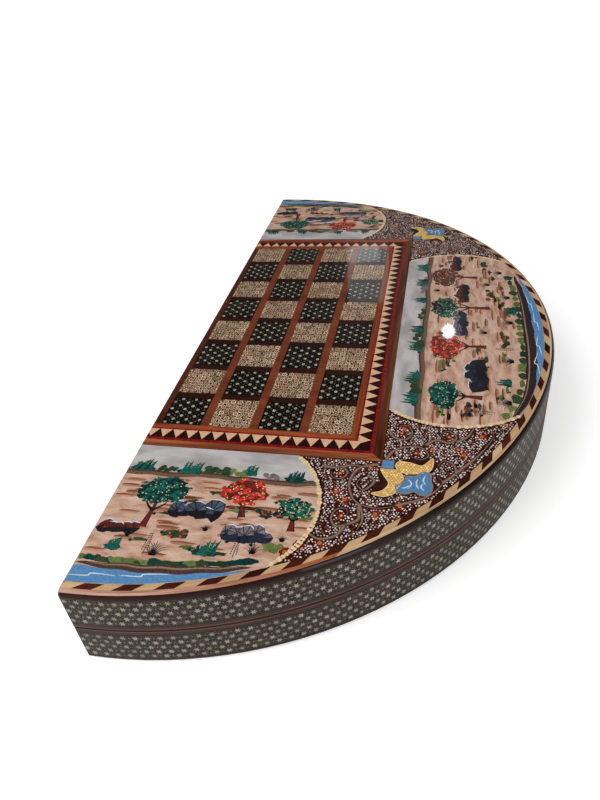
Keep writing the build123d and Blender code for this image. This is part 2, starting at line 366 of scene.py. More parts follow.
def blockFinish(name, half, dark, light, shift):
    # each slanted block has its own tone, by its place on the curve
    material, surface = lacquered(name)
    source = ringPlace()
    pitch = math.pi / blocks["pairs"]
    sense = -1 if half == "lid" else 1
    turned = times(splitPlace(source)[0], sense / (board["radius"] * mm))
    first = math.radians(blocks["firstMiddle"]) + shift * pitch
    rand = addNode("ShaderNodeTexWhiteNoise", noise_dimensions="1D")
    joined(maths("ROUND", maths("DIVIDE", minus(turned, first), pitch)), rand.inputs["W"])
    body = mixColour(rand.outputs["Value"], tint(*dark), tint(*light))
    fibre = noise(source, (60, 1400, 900), 4)
    colour = mixColour(spread(fibre, 0.45, 0.0, 0.35, 0.6), body, toned(tint(*dark), 0.6))
    joined(colour, surface.inputs["Base Color"])
    relief(surface, fibre, 0.2, 0.00006)
    return material


def chipFinish(name, gloss, bent, scale, stops):
    # mosaic of tiny chips, each in one of the given tones
    material, surface = lacquered(name, gloss)
    cells = addNode("ShaderNodeTexVoronoi", feature="F1")
    joined(ringPlace() if bent else objectPlace(), cells.inputs["Vector"])
    cells.inputs["Scale"].default_value = scale
    split = addNode("ShaderNodeSeparateColor")
    joined(cells.outputs["Color"], split.inputs[0])
    joined(ramp(split.outputs[0], stops, step=True), surface.inputs["Base Color"])
    return material


# Layers of the walls by their distance from the parting, in millimetres: brown strip with a copper line
partingLayers = ((0.0, (66, 44, 36)), (0.9, (128, 88, 68)), (1.3, (74, 54, 46)), (3.3, (46, 34, 30)))
wallReach = 30.0


def layerFinish(name, bent, outerLayers, deep):
    material, surface = lacquered(name, 0.35)
    away = maths("ABSOLUTE", minus(splitPlace()[2], closedHeight / 2))
    stops = [(depth / wallReach, tint(*colour)) for depth, colour in (*partingLayers, *outerLayers)]
    colour = ramp(maths("DIVIDE", away, wallReach * mm), stops, step=True)
    if bent:
        streak = spread(noise(ringPlace(), (40, 1500, 1500), 4), 0.5, 0.0, 0.35, 0.6)
    else:
        streak = spread(noise(objectPlace(), 900, 2), 0.5, 0.0, 0.4, 0.55)
    joined(mixColour(streak, colour, tint(*deep)), surface.inputs["Base Color"])
    return material


# Painted ground of the panels, by millimetres up from the border: sandy washes, hazy hills, lilac sky
paintedGround = {
    "hillBetween": (72.0, 76.5),
    "skyBetween": (77.5, 78.5),
    "hillShare": 0.75,
    "ridgeSwing": 4.0,
    "sideRise": 5.0,
}


def sandFinish(name):
    material, surface = lacquered(name)
    x, y, z = splitPlace()
    x = minus(x, spineX)
    onSide = maths("GREATER_THAN", x, board["frameX"] * mm)
    onEnd = minus(1.0, onSide)
    outwards = plus(times(x, onSide), times(maths("ABSOLUTE", y), onEnd))
    sideways = plus(times(y, onSide), times(x, onEnd))
    up = minus(board["borderInner"] * mm, outwards)
    picture = mixedPlace(sideways, up, 0.0)
    wash = noise(picture, (70, 210, 1), 5, 0.65, 0.5)
    sand = ramp(wash, ((0.3, tint(158, 112, 90)), (0.46, tint(198, 158, 136)), (0.7, tint(222, 193, 174))))
    haze = ramp(noise(picture, (36, 90, 1), 4), ((0.35, tint(160, 154, 154)), (0.6, tint(196, 190, 190))))
    hill = ramp(noise(picture, 60), ((0.4, tint(128, 98, 80)), (0.55, tint(150, 128, 98))))
    swing = paintedGround["ridgeSwing"] * mm
    ridge = plus(up, spread(noise(picture, (46, 1, 1)), -swing, swing))
    ridge = minus(ridge, times(onSide, paintedGround["sideRise"] * mm))

    def over(key, share):
        return spread(ridge, 0.0, share, *(level * mm for level in paintedGround[key]))

    ground = mixColour(over("hillBetween", paintedGround["hillShare"]), sand, hill)
    joined(mixColour(over("skyBetween", 1.0), ground, haze), surface.inputs["Base Color"])
    return material


def brassFinish(name):
    material, surface = startMaterial(name, {"Metallic": 1.0})
    x, y, z = splitPlace()
    brushed = noise(mixedPlace(y, x, z), (60, 2600, 2600))
    stainAndShade = noise(objectPlace(), 160, 4)
    colour = ramp(stainAndShade, ((0.3, tint(196, 150, 84)), (0.65, tint(232, 196, 128))))
    joined(colour, surface.inputs["Base Color"])
    joined(spread(brushed, 0.4, 0.58), surface.inputs["Roughness"])
    relief(surface, brushed, 0.2, 0.00005)
    return material


def dress(node, material):
    nodes[node].data.materials.clear()
    nodes[node].data.materials.append(material)


def clothe(name, material):
    for half in halves:
        dress(f"{half}_{name}", material)


# Woods, inlays and paints of the board
print("materials")
for name, title, dark, light, run, hingeShade in (
    ("face_board", "plywoodVeneer", (120, 78, 46), (150, 102, 62), "y", 1.0),
    ("rim_wall", "rimWalnut", (78, 44, 26), (112, 68, 40), "ring", 1.0),
    ("hinge_rail", "railWalnut", (78, 44, 26), (112, 68, 40), "y", 1.0),
    ("end_dividers", "dividerWood", (92, 50, 28), (128, 76, 42), "y", 1.0),
    ("play_floor", "playFloorVeneer", (128, 82, 48), (172, 118, 72), "y", 1.0),
    ("column_strips", "stripRedBrown", (98, 42, 24), (142, 70, 40), "x", 0.45),
    ("row_strips", "stripDark", (30, 9, 6), (58, 20, 12), "x", 1.0),
    ("points_light", "pointMaple", (196, 150, 98), (222, 182, 128), "y", 1.0),
    ("points_dark", "pointDark", (52, 26, 18), (84, 44, 28), "y", 1.0),
):
    clothe(name, woodFinish(title, dark, light, run, hingeShade))
clothe("side_divider", bpy.data.materials["dividerWood"])
for name, title, colour, drift, size in (
    ("squares_dark", "squareEbony", (13, 10, 6), 0.5, 700),
    ("frame_red_lines", "redLine", (128, 16, 16), 0.3, 400),
    ("frame_teeth_light", "toothMaple", (216, 174, 138), 0.12, 500),
    ("frame_teeth_dark", "toothDark", (42, 10, 8), 0.4, 500),
    ("corner_grounds", "maroonGround", (50, 20, 15), 0.35, 260),
):
    clothe(name, inlayFinish(title, colour, drift, size))
clothe("frame_inner_strip", frameFinish("innerStripWood", (122, 46, 22), (168, 82, 44), 0.75))
clothe("frame_outer_band", frameFinish("outerBandWood", (108, 42, 24), (176, 104, 64), 0.42))
clothe("edge_band", bandFinish("edgeMaple"))
for half in halves:
    for tone, dark, light, shift in (
        ("Dark", (40, 12, 8), (92, 34, 22), 0.0),
        ("Light", (188, 146, 104), (224, 190, 148), 0.5),
    ):
        material = blockFinish(f"{half}Block{tone}", half, dark, light, shift)
        dress(f"{half}_border_blocks_{tone.lower()}", material)
clothe("squares_light", chipFinish("squareBone", 1.0, False, 800, (
    (0.0, tint(58, 42, 30)), (0.3, tint(116, 84, 56)), (0.6, tint(150, 120, 90)), (0.85, tint(90, 82, 68)))))
olive = tint(58, 49, 39)
clothe("wall_marquetry", chipFinish("wallGround", 0.42, True, 1100, (
    (0.0, toned(olive, 0.45)), (0.35, olive), (0.85, toned(olive, 1.7)))))
clothe("wall_lines", layerFinish("wallLineWoods", True, ((20, (48, 26, 22)),), (30, 16, 12)))
clothe("spine_marquetry", layerFinish("spineVeneer", False, (
    (4.1, (60, 54, 46)), (24.3, (58, 38, 36)), (26.7, (196, 144, 112))), (24, 20, 16)))
sandPaint = sandFinish("sandPaint")
clothe("end_panels", sandPaint)
clothe("side_panel", sandPaint)
brass = brassFinish("brass")
for node in ("hinge_leaves_base", "hinge_leaves_lid", "hinge_pins"):
    dress(node, brass)


# Geometry Nodes tree that sets one small shape on every given point
def shapeTree(shape):
    tree = bpy.data.node_groups.new(shape + "OnPoints", "GeometryNodeTree")
    atHand["tree"] = tree
    for title, kind, value in (
        ("Points", "Geometry", None),
        ("Radius", "Float", 0.001),
        ("Inner Share", "Float", 0.6),
        ("Size Drift", "Float", 0.05),
        ("Rise", "Float", 0.0001),
        ("Corners", "Int", 6),
        ("Seed", "Int", 1),
        ("Material", "Material", None),
    ):
        socket = tree.interface.new_socket(title, in_out="INPUT", socket_type="NodeSocket" + kind)
        if value is not None:
            socket.default_value = value
    tree.interface.new_socket("Mesh", in_out="OUTPUT", socket_type="NodeSocketGeometry")
    given = addNode("NodeGroupInput").outputs

    def make(kind, values, output=0, **settings):
        node = addNode(kind, **settings)
        for key, value in values.items():
            feed(node.inputs[key], value)
        return node.outputs[output]

    def stored(name, kind):
        return make("GeometryNodeInputNamedAttribute", {"Name": name}, data_type=kind)

    radius = given["Radius"]
    share = given["Inner Share"]
    if shape == "head":
        piece = make("GeometryNodeMeshCone", {
            "Vertices": given["Corners"],
            "Radius Top": times(radius, share),
            "Radius Bottom": radius,
            "Depth": given["Rise"],
        }, fill_type="NGON")
    elif shape == "bar":
        sizes = {"Size X": times(radius, 2.0), "Size Y": times(radius, share)}
        piece = make("GeometryNodeMeshGrid", {**sizes, "Vertices X": 2, "Vertices Y": 2})
    else:
        corners = times(given["Corners"], 2.0) if shape == "star" else given["Corners"]
        piece = make("GeometryNodeMeshCircle", {"Vertices": corners, "Radius": radius}, fill_type="NGON")
    if shape == "star":
        odd = maths("MODULO", make("GeometryNodeInputIndex", {}), 2.0)
        shrink = maths("MULTIPLY_ADD", odd, minus(share, 1.0), 1.0)
        place = make("GeometryNodeInputPosition", {})
        moved = make("ShaderNodeVectorMath", {0: place, "Scale": shrink}, operation="SCALE")
        piece = make("GeometryNodeSetPosition", {"Geometry": piece, "Position": moved})
    rotation = make(
        "FunctionNodeAxesToRotation",
        {
            "Primary Axis": stored("facing", "FLOAT_VECTOR"),
            "Secondary Axis": stored("along", "FLOAT_VECTOR"),
        },
        primary_axis="Z",
        secondary_axis="X",
    )
    limits = {2: minus(1.0, given["Size Drift"]), 3: plus(1.0, given["Size Drift"]), "Seed": given["Seed"]}
    drift = make("FunctionNodeRandomValue", limits, 1, data_type="FLOAT")
    mesh = make("GeometryNodeInstanceOnPoints", {
        "Points": given["Points"],
        "Instance": piece,
        "Rotation": rotation,
        "Scale": times(drift, stored("size", "FLOAT")),
    })
    tone = make("FunctionNodeRandomValue", {"Seed": given["Seed"]}, 1, data_type="FLOAT")
    mesh = make("GeometryNodeStoreNamedAttribute", {"Geometry": mesh, "Name": "tone", "Value": tone},
                data_type="FLOAT", domain="INSTANCE")
    mesh = make("GeometryNodeRealizeInstances", {"Geometry": mesh})
    mesh = make("GeometryNodeSetMaterial", {"Geometry": mesh, "Material": given["Material"]})
    joined(mesh, addNode("NodeGroupOutput").inputs[0])
    return tree


trees = {shape: shapeTree(shape) for shape in ("star", "disc", "head", "bar")}


def setShapes(half, title, spots, shape, material, radius, values):
    # spots: (place, facing, along, size) for each shape, in metres; the radius is in millimetres
    carrier = bpy.data.meshes.new(title + "Points")
    carrier.from_pydata([spot[0] for spot in spots], [], [])
    for key, column in (("facing", 1), ("along", 2)):
        attribute = carrier.attributes.new(key, "FLOAT_VECTOR", "POINT")
        attribute.data.foreach_set("vector", [value for spot in spots for value in spot[column]])
    attribute = carrier.attributes.new("size", "FLOAT", "POINT")
    attribute.data.foreach_set("value", [spot[3] for spot in spots])
    source = bpy.data.objects.new(title + "Points", carrier)
    bpy.context.collection.objects.link(source)
    modifier = source.modifiers.new("shapes", "NODES")
    modifier.node_group = trees[shape]
    given = {"Material": material, "Radius": radius * mm, **values}
    for socket in trees[shape].interface.items_tree:
        if socket.in_out == "INPUT" and socket.name in given:
            modifier[socket.identifier] = given[socket.name]
    ready = source.evaluated_get(bpy.context.evaluated_depsgraph_get())
    mesh = bpy.data.meshes.new_from_object(ready)
    source.modifiers.remove(modifier)
    bpy.data.objects.remove(source)
    for key in ("facing", "along", "size"):
        if key in mesh.attributes:
            mesh.attributes.remove(mesh.attributes[key])
    piece = bpy.data.objects.new(f"{half}_{title}", mesh)
    bpy.context.collection.objects.link(piece)
    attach(piece, half)


def onFace(half, x, y, lift, angle=0.0, size=1.0):
    flip = 1 if half == "lid" else -1
    along = (math.cos(angle), flip * math.sin(angle), 0)
    return (facePoint(half, x, y, lift), (0, 0, flip), along, size)


# Chess squares: stars on the dark ones, rosettes on the light ones
print("chess squares")
squares = {
    "columns": 4,
    "rows": 8,
    "columnPitch": 31.4,
    "rowPitch": 32.0,
    "hingeStrip": 4.4,
    "width": 26.0,
    "depth": 26.6,
    "margin": 0.5,
}
starField = {
    "pitch": 8.75,
    "rowStep": 3.3,
    "rows": 8,
    "starRadius": 1.32,
    "starShare": 0.62,
    "eyeRadius": 0.34,
    "sparkRadius": 0.46,
    "lift": 0.03,
    "eyeLift": 0.05,
}
rosette = {
    "pitch": 4.9,
    "rowStep": 2.8,
    "rows": 9,
    "stray": 0.3,
    "leafRadius": 2.15,
    "leafShare": 0.62,
    "petalRadius": 1.45,
    "heartRadius": 0.55,
    "chipRadius": 0.62,
    "leafLift": 0.03,
    "petalLift": 0.05,
    "heartLift": 0.07,
    "edgeReach": 11.9,
}


def squareMiddles(parity):
    # the picture's y runs against the half's own row count
    for column in range(squares["columns"]):
        for row in range(squares["rows"]):
            if (column + row) % 2 == parity:
                x = squares["hingeStrip"] + squares["width"] / 2 + column * squares["columnPitch"]
                y = -(row - (squares["rows"] - 1) / 2) * squares["rowPitch"]
                yield x, y


starGrey = inlayFinish("starBone", (176, 172, 158), 0.2, 1200, toneShare=0.2)
starEye = inlayFinish("starEye", (58, 74, 52), 0.4, 1200, toneShare=0.4)
sparkle = inlayFinish("groundSparkle", (112, 98, 74), 0.3, 1200, toneShare=0.4)
for half in halves:
    stars = []
    eyes = []
    sparks = []
    pitch = starField["pitch"]
    rowStep = starField["rowStep"]
    for middleX, middleY in squareMiddles(1):
        for row in range(starField["rows"]):
            side = 1 if row % 2 else -1
            y = middleY + (row - (starField["rows"] - 1) / 2) * rowStep
            sparkSteps = ((-side * pitch / 2, 0), (pitch / 4, rowStep / 2), (-pitch / 4, rowStep / 2))
            for column in (-1, 0, 1):
                x = middleX + column * pitch + side * pitch / 4
                stars.append(onFace(half, x, y, starField["lift"]))
                eyes.append(onFace(half, x, y, starField["eyeLift"]))
                for stepX, stepY in sparkSteps:
                    inX = abs(x + stepX - middleX) < squares["width"] / 2 - squares["margin"]
                    inY = abs(y + stepY - middleY) < squares["depth"] / 2 - squares["margin"]
                    if inX and inY:
                        sparks.append(onFace(half, x + stepX, y + stepY, starField["lift"]))
    setShapes(half, "square_stars", stars, "star", starGrey, starField["starRadius"],
              {"Inner Share": starField["starShare"], "Seed": 3})
    setShapes(half, "square_star_eyes", eyes, "disc", starEye, starField["eyeRadius"], {"Seed": 5})
    setShapes(half, "square_sparks", sparks, "disc", sparkle, starField["sparkRadius"],
              {"Corners": 4, "Size Drift": 0.3, "Seed": 8})

rosetteBrown = inlayFinish("rosetteBrown", (114, 76, 48), 0.45, 900, toneShare=0.55)
rosetteCream = inlayFinish("rosetteCream", (214, 190, 162), 0.2, 700, toneShare=0.25)
rosetteDark = inlayFinish("rosetteDark", (46, 34, 24), 0.4, 900, toneShare=0.4)
strayRand = random.Random(17)
for half in halves:
    leaves = []
    petals = []
    hearts = []
    chips = []
    for middleX, middleY in squareMiddles(0):
        for row in range(rosette["rows"]):
            side = -1 if row % 2 else 1
            level = middleY + (row - (rosette["rows"] - 1) / 2) * rosette["rowStep"]
            for column in range(-2, 3):
                x = middleX + column * rosette["pitch"] + side * rosette["pitch"] / 4
                x += strayRand.uniform(-1, 1) * rosette["stray"]
                y = level + strayRand.uniform(-1, 1) * rosette["stray"]
                angle = strayRand.uniform(0, 1)
                lift = rosette["leafLift"] + 0.004 * (column % 2)
                leaves.append(onFace(half, x, y, lift, angle, strayRand.uniform(0.9, 1.08)))
                lift = rosette["petalLift"]
                petals.append(onFace(half, x, y, lift, angle, strayRand.uniform(0.8, 1.1)))
                hearts.append(onFace(half, x, y, rosette["heartLift"], angle))
                x -= side * rosette["pitch"] / 2
                chips.append(onFace(half, x, y, lift, angle, strayRand.uniform(0.8, 1.4)))
            x = middleX - side * rosette["edgeReach"]
            leaves.append(onFace(half, x, level, rosette["leafLift"], math.pi / 6, 0.5))
    setShapes(half, "rosette_leaves", leaves, "star", rosetteCream, rosette["leafRadius"],
              {"Inner Share": rosette["leafShare"], "Seed": 11})
    setShapes(half, "rosette_petals", petals, "disc", rosetteBrown, rosette["petalRadius"], {"Seed": 12})
    setShapes(half, "rosette_hearts", hearts, "star", rosetteCream, rosette["heartRadius"],
              {"Inner Share": 0.5, "Seed": 13})
    setShapes(half, "rosette_chips", chips, "disc", rosetteDark, rosette["chipRadius"], {"Seed": 14})

# Starred bands of the curved wall and of the straight side
print("starred walls")
wallStars = {
    "rows": (6.5, 10.4, 14.35, 18.3, 22.2),
    "pitch": 6.5,
    "radius": 1.95,
    "share": 0.42,
    "dotRadius": 0.42,
    "lift": 0.04,
    "spineReach": 246.0,
}
wallStar = inlayFinish("wallStar", (158, 148, 134), 0.2, 1200, toneShare=0.25, gloss=0.4)
wallDot = inlayFinish("wallDot", (138, 126, 106), 0.2, 1200, toneShare=0.4, gloss=0.4)


def wallHeight(half, depth):
    # depth is counted from the outer face
    return closedHeight - depth * mm if half == "lid" else depth * mm


def onWall(half, angle, depth):
    turned = -angle if half == "lid" else angle
    x = math.cos(turned)
    y = math.sin(turned)
    along = (y, -x, 0) if half == "lid" else (-y, x, 0)
    reach = (board["radius"] + wallStars["lift"]) * mm
    return ((spineX + reach * x, reach * y, wallHeight(half, depth)), (x, y, 0), along, 1.0)


def onSpine(half, y, depth):
    place = (spineX - wallStars["lift"] * mm, y * mm, wallHeight(half, depth))
    return (place, (-1, 0, 0), (0, 1, 0), 1.0)


for half in halves:
    stars = []
    dots = []
    count = round(math.pi * board["radius"] / wallStars["pitch"])
    step = math.pi / count
    for number, depth in enumerate(wallStars["rows"]):
        for place in range(count):
            angle = (place + (0.25 if number % 2 else 0.75)) * step - math.pi / 2
            stars.append(onWall(half, angle, depth))
            if place:
                dots.append(onWall(half, angle - step / 2, depth))
    count = round(2 * wallStars["spineReach"] / wallStars["pitch"])
    for number, depth in enumerate(wallStars["rows"]):
        for place in range(count):
            y = (place + (0.25 if number % 2 else 0.75) - count / 2) * wallStars["pitch"]
            if abs(y) < wallStars["spineReach"]:
                stars.append(onSpine(half, y, depth))
                dots.append(onSpine(half, y + wallStars["pitch"] / 2, depth))
    setShapes(half, "wall_stars", stars, "star", wallStar, wallStars["radius"],
              {"Inner Share": wallStars["share"], "Seed": 21})
    setShapes(half, "wall_dots", dots, "disc", wallDot, wallStars["dotRadius"], {"Corners": 5, "Seed": 22})

# Brush kit for the painted panels and corners, drawn in picture coordinates
print("painted panels")
brushes = {
    "teal": (22, 92, 80),
    "tealDark": (12, 56, 52),
    "green": (98, 116, 62),
    "greenDark": (46, 66, 40),
    "ink": (30, 28, 34),
    "brown": (134, 84, 62),
    "brownPale": (182, 134, 104),
    "water": (88, 138, 184),
    "foam": (206, 220, 230),
    "slate": (74, 86, 104),
    "slateDark": (34, 42, 56),
    "red": (200, 56, 44),
    "redBrown": (108, 38, 30),
    "mauve": (118, 104, 110),
    "cream": (230, 206, 168),
    "gold": (206, 156, 72),
    "goldPale": (232, 204, 146),
    "vine": (112, 86, 70),
    "vinePale": (146, 120, 104),
    "crimson": (140, 22, 18),
    "bank": (88, 62, 54),
    "bankDark": (56, 42, 42),
}
brushPaint = {
    colour: inlayFinish("paint" + colour[0].upper() + colour[1:], value, 0.14, 700, toneShare=0.3)
    for colour, value in brushes.items()
}
sheets = {}
smallestFace = 0.002


def smoothPath(points, parts=6):
    # curve through the given points
    ends = [points[0], *points, points[-1]]
    path = []
    for four in zip(ends, ends[1:], ends[2:], ends[3:]):
        for step in range(parts):
            u = step / parts
            path.append(tuple(
                b + (c - a) * u / 2 + (2 * a - 5 * b + 4 * c - d) * u ** 2 / 2
                + (3 * b - a - 3 * c + d) * u ** 3 / 2
                for a, b, c, d in zip(*four)
            ))
    path.append(tuple(points[-1]))
    return path


def strokeFaces(path, width, ends="pointed"):
    last = len(path) - 1
    rows = []
    for index, (x, y) in enumerate(path):
        before = path[max(index - 1, 0)]
        after = path[min(index + 1, last)]
        dx = after[0] - before[0]
        dy = after[1] - before[1]
        u = index / last
        share = 1.0
        if ends == "pointed":
            share = max(math.sin(math.pi * u), 0.0) ** 0.6 + 0.04
        elif ends == "tail":
            share = 1 - 0.92 * u
        reach = width / 2 * share / (math.hypot(dx, dy) or 1)
        rows.append(((x - dy * reach, y + dx * reach), (x + dy * reach, y - dx * reach)))
    return [(a[0], b[0], b[1], a[1]) for a, b in zip(rows, rows[1:])]


def blobFace(x, y, wide, tall, edge, rand):
    # edge: how many corners the outline has and how uneven they are
    corners, wobble = edge
    loop = []
    for index in range(corners):
        angle = 2 * math.pi * index / corners
        reach = 1 + rand.uniform(-wobble, wobble)
        loop.append((x + wide * reach * math.cos(angle), y + tall * reach * math.sin(angle)))
    return tuple(loop)


def lay(colour, loops, place, lift, tone=0.5):
    # one brush mark: all its faces share a tone
    faces = [[place(*point) for point in loop] for loop in loops]
    sheets.setdefault(colour, []).append((faces, lift, tone))


def stroke(colour, points, width, place, lift=0.05, ends="pointed", parts=5, tone=0.5):
    lay(colour, strokeFaces(smoothPath(points, parts), width, ends), place, lift, tone)


def dab(colour, x, y, wide, tall, edge, place, lift, rand, tone=None):
    # one rounded mark, in a tone of its own unless one is given
    loop = blobFace(x, y, wide, tall, edge, rand)
    lay(colour, [loop], place, lift, rand.random() if tone is None else tone)


def turnedOut(loop):
    # the loop in the order that turns its face outwards, or nothing where the panel's edge has flattened it
    area = sum(ax * by - bx * ay for (ax, ay), (bx, by) in zip(loop, [*loop[1:], loop[0]])) / 2
    if abs(area) < smallestFace:
        return []
    return loop if area > 0 else loop[::-1]


def paintOut(name):
    # every colour becomes one mesh on each half, then the sheets are cleared
    for half in halves:
        for colour, marks in sheets.items():
            points = []
            faces = []
            tones = []
            for loops, lift, tone in marks:
                for loop in filter(None, map(turnedOut, loops)):
                    start = len(points)
                    points += [facePoint(half, x, y, lift) for x, y in loop]
                    faces.append(range(start, start + len(loop)))
                    tones.append(tone)
            mesh = bpy.data.meshes.new(f"{half}_{name}_{colour}")
            mesh.from_pydata(points, [], faces)
            attribute = mesh.attributes.new("tone", "FLOAT", "FACE")
            attribute.data.foreach_set("value", tones)
            mesh.materials.append(brushPaint[colour])
            piece = bpy.data.objects.new(mesh.name, mesh)
            bpy.context.collection.objects.link(piece)
            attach(piece, half)
    sheets.clear()


# A panel's own coordinates: s along the border, t up from it
endPanel = {
    "left": 0.5,
    "right": 116.0,
    "top": 97.5,
    "corner": 97.8,
    "bow": (66.83, 59.14),
    "reach": 49.49,
}
sidePanel = {
    "left": -113.0,
    "right": 113.0,
    "top": 98.2,
    "corner": 100.1,
    "bow": (50.85, 60.0),
    "reach": 62.5,
}
panels = {"near": endPanel, "far": endPanel, "side": sidePanel}
borderGap = 0.25
bowGap = 0.3
# Middles of the two bows at the near corner, in picture coordinates
bowMiddles = {
    "near": (endPanel["bow"][0], endPanel["bow"][1] - board["borderInner"]),
    "side": (board["borderInner"] - sidePanel["bow"][1], -sidePanel["bow"][0]),
}


def borderFoot(s):
    return board["borderInner"] - math.sqrt(board["borderInner"] ** 2 - s * s)


def panelPlace(panel):
    limits = panels[panel]

    def place(s, t):
        # keeps a mark inside the panel, then turns it to picture coordinates
        s = min(max(s, limits["left"]), limits["right"])
        t = min(max(t, borderFoot(s) + borderGap), limits["top"])
        if abs(s) > limits["corner"]:
            side = math.copysign(1, s)
            across = s - side * limits["bow"][0]
            up = t - limits["bow"][1]
            share = (limits["reach"] - bowGap) / math.hypot(across, up)
            if share < 1:
                s = side * limits["bow"][0] + across * share
                t = limits["bow"][1] + up * share
        if panel == "side":
            return board["borderInner"] - t, s
        return s, (t - board["borderInner"]) * (1 if panel == "near" else -1)

    return place


# The painted motifs, in millimetres; a mark's lift puts it above the marks laid before it
conifer = {"height": 9.0, "gap": 2.2, "width": 3.6, "twigs": 4, "twigReach": 1.7, "twigWidth": 0.8}
crown = {
    "flatness": 0.72,
    "masses": ((-0.5, -0.15), (0.5, -0.1), (-0.22, 0.35), (0.28, 0.38), (0.0, -0.3)),
    "leaves": 46,
    "dots": 60,
}
boulders = (-0.85, 0.8, -0.45, 0.4, 0.0)
bushMarks = {"leaves": 9, "blooms": 14}
reedMarks = {"height": 14.0, "buds": 9}
sandBand = {"overBorder": 17, "top": 72}


def conifers(place, s, t, rand, count):
    dab("tealDark", s, t + 0.8, count * 1.5, 2.1, (13, 0.2), place, 0.047, rand)
    for index in range(count):
        foot = s + (index - (count - 1) / 2) * conifer["gap"]
        tall = conifer["height"] * rand.uniform(0.6, 1.1)
        tip = foot + rand.uniform(0.6, 2.2)
        colour = rand.choice(("teal", "teal", "tealDark"))
        trunk = [(foot, t - 1), (foot + 0.4, t + tall * 0.4), (tip, t + tall)]
        stroke(colour, trunk, conifer["width"], place, 0.05 + 0.002 * index, "tail", 4, rand.random())
        for step in range(conifer["twigs"]):
            level = t + tall * (0.1 + 0.2 * step)
            reach = conifer["twigReach"] * (1 - step / 5)
            for side in (-1, 1):
                twig = [(foot, level), (foot + side * reach + 0.5, level + 1.4)]
                stroke(colour, twig, conifer["twigWidth"], place, 0.062, "tail", 2, rand.random())


def broadTree(place, s, t, rand, height, wide, leaf, deep, dots):
    # bent trunk with forks under a crown of rounded leaf masses
    lean = rand.uniform(-3, 3)
    top = t + height
    tall = wide * crown["flatness"]
    trunk = [(s - lean * 0.2, t - 1), (s + lean * 0.4, t + height * 0.4), (s + lean, top)]
    stroke("ink", trunk, 4.4, place, 0.05, "tail")
    stroke("redBrown", trunk, 3.0, place, 0.053, "tail")
    for side in (-1, 1):
        stroke("ink", [
            (s + lean * 0.4, t + height * 0.42),
            (s + lean * 0.6 + side * wide * 0.35, t + height * 0.62),
            (s + lean + side * wide * 0.6, top - 1),
        ], 1.8, place, 0.055, "tail")
    for shift, rise in crown["masses"]:
        dab(deep, s + lean + wide * shift, top + tall * rise, wide * 0.52, tall * 0.56, (15, 0.16),
            place, 0.057 + 0.001 * rise, rand)

    def inCrown(share):
        angle = rand.uniform(0, 2 * math.pi)
        reach = share * math.sqrt(rand.random())
        return s + lean + wide * reach * math.cos(angle), top + tall * reach * math.sin(angle)

    for index in range(crown["leaves"]):
        dab(leaf, *inCrown(1.0), rand.uniform(1.1, 2.0), rand.uniform(0.9, 1.5), (9, 0.24),
            place, 0.06 + 0.0006 * index, rand)
    for index in range(crown["dots"]):
        dab(dots, *inCrown(1.05), 0.42, 0.36, (6, 0.1), place, 0.094, rand)


def rocks(place, s, t, rand, wide, pale, dark):
    # craggy boulders: dark bodies with paler facets on top and a light edge
    for index, shift in enumerate(boulders):
        x = s + wide * shift
        tall = wide * rand.uniform(0.55, 0.95)
        lift = 0.052 + 0.006 * index
        loop = blobFace(x, t + tall * 0.5, wide * 0.46, tall * 0.62, (9, 0.24), rand)
        lay(dark, [loop], place, lift, rand.random())
        heart = (x + wide * rand.uniform(-0.12, 0.12), t + tall * rand.uniform(0.4, 0.62))
        for facet in zip([heart] * 5, loop, loop[1:]):
            middle = [sum(values) / 3 for values in zip(*facet)]
            facet = [tuple(m + (value - m) * 0.78 for m, value in zip(middle, corner)) for corner in facet]
            lay(pale, [facet], place, lift + 0.002, rand.random())
        stroke("foam", loop[1:4], 0.7, place, lift + 0.004, "pointed", 2)


def bush(place, s, t, rand, size, leaf, bloom):
    for index in range(bushMarks["leaves"]):
        x = s + size * rand.uniform(-1, 1)
        y = t + size * 0.45 * rand.uniform(0, 1.3)
        dab(leaf, x, y, size * 0.34, size * 0.27, (9, 0.22), place, 0.055 + 0.001 * index, rand)
    for index in range(bushMarks["blooms"] if bloom else 0):
        x = s + size * rand.uniform(-1.1, 1.1)
        y = t + size * 0.45 * rand.uniform(-0.2, 1.6)
        dab(bloom, x, y, 0.62, 0.55, (6, 0.15), place, 0.072, rand)


def tuft(place, s, t, rand, size, blades=9, colour="ink"):
    for index in range(blades):
        lean = (index / (blades - 1) - 0.5) * 2
        tall = size * (1 - 0.45 * abs(lean)) * rand.uniform(0.85, 1.1)
        blade = [
            (s + lean * size * 0.12, t),
            (s + lean * size * 0.4, t + tall * 0.75),
            (s + lean * size * 0.85, t + tall * 0.95),
        ]
        stroke(colour, blade, 0.14 * size ** 0.5 + 0.25, place, 0.075, "tail", 4, rand.random())


def reed(place, s, t, rand):
    height = reedMarks["height"]
    stroke("greenDark", [(s, t), (s + 0.4, t + height)], 0.5, place, 0.075, "tail", 3)
    for step in range(reedMarks["buds"]):
        y = t + height * (0.15 + 0.09 * step)
        for side in (-1, 1):
            dab("ink", s + side * (1.5 - 0.12 * step), y, 0.36, 0.5, (6, 0.1), place, 0.076, rand, 0.5)


